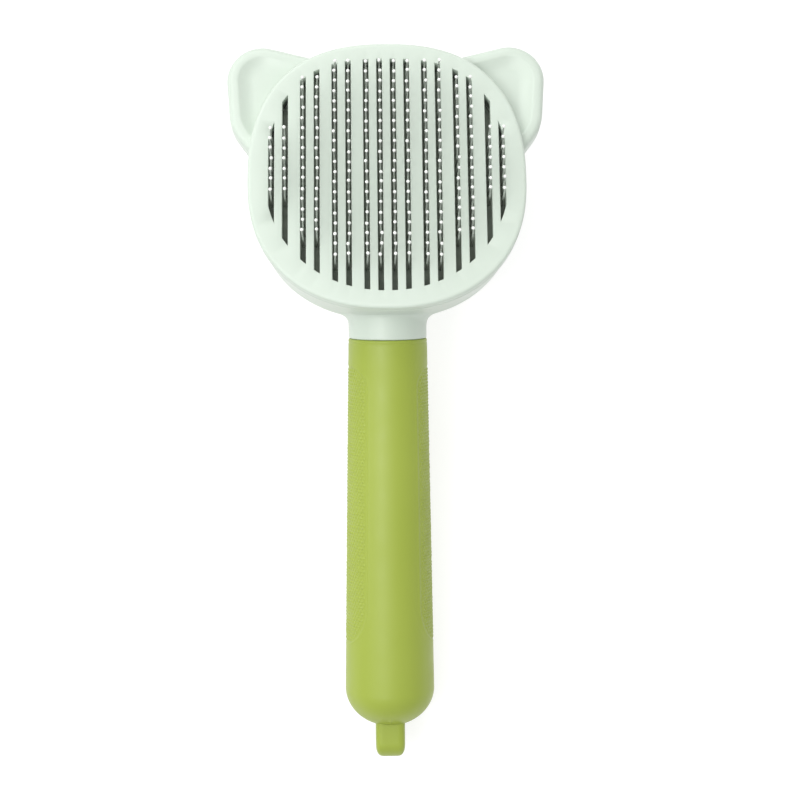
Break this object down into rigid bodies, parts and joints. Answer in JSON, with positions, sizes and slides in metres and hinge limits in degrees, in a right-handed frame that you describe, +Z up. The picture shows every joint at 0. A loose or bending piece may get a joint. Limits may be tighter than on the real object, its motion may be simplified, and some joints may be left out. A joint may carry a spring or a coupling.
{
  "type": "slicker brush",
  "caption": "Hand brush with a cat-ear head, straight wire pins through a slotted lift-off plate, a large push button on the back and a round hollow grip with a hanging loop.",
  "frame": {"origin": "under the middle of the whole length, on the table that the brush lies on", "axes": "+Z up, out of the bristle side of the brush as it lies on its back; +Y along the brush, from the hanging loop to the ears; +X across"},
  "size_m": [0.09, 0.2056, 0.0536],
  "materials": {
    "shell_plastic": "satin",
    "plate_plastic": "satin",
    "grip_plastic": "satin",
    "button_plastic": "satin",
    "inner_plastic": "satin",
    "pad_rubber": "matt",
    "pin_steel": "drawn wire",
    "bead_plastic": "gloss",
    "screw_steel": "zinc plated",
    "spring_steel": "drawn wire"
  },
  "bodies": {
    "housing": {"head_shell": "shell_plastic", "back_cover": "shell_plastic", "pin_carrier": "inner_plastic", "cushion_pad": "pad_rubber", "carrier_screws": "screw_steel", "cover_screws": "screw_steel", "pin_row_01": "pin_steel", "pin_row_02": "pin_steel", "pin_row_03": "pin_steel", "pin_row_04": "pin_steel", "pin_row_05": "pin_steel", "pin_row_06": "pin_steel", "pin_row_07": "pin_steel", "pin_row_08": "pin_steel", "pin_row_09": "pin_steel", "pin_row_10": "pin_steel", "pin_row_11": "pin_steel", "pin_row_12": "pin_steel", "pin_row_13": "pin_steel", "pin_row_14": "pin_steel", "pin_row_15": "pin_steel", "pin_row_16": "pin_steel", "bead_row_01": "bead_plastic", "bead_row_02": "bead_plastic", "bead_row_03": "bead_plastic", "bead_row_04": "bead_plastic", "bead_row_05": "bead_plastic", "bead_row_06": "bead_plastic", "bead_row_07": "bead_plastic", "bead_row_08": "bead_plastic", "bead_row_09": "bead_plastic", "bead_row_10": "bead_plastic", "bead_row_11": "bead_plastic", "bead_row_12": "bead_plastic", "bead_row_13": "bead_plastic", "bead_row_14": "bead_plastic", "bead_row_15": "bead_plastic", "bead_row_16": "bead_plastic", "return_spring_1": "spring_steel", "return_spring_2": "spring_steel", "return_spring_3": "spring_steel", "return_spring_4": "spring_steel", "handle_grip": "grip_plastic", "handle_screw": "screw_steel"},
    "release": {"front_plate": "plate_plastic", "pusher_frame": "inner_plastic", "plate_screws": "screw_steel", "button": "button_plastic", "button_screws": "screw_steel"}
  },
  "joints": [
    {"name": "release_slide", "type": "slide", "parent": "housing", "child": "release", "axis": [0, 0.2079, 0.9781], "range_m": [0, 0.009], "stiffness_N_per_m": 300, "springref_m": -0.01, "deforming": ["return_spring_1", "return_spring_2", "return_spring_3", "return_spring_4"]}
  ]
}
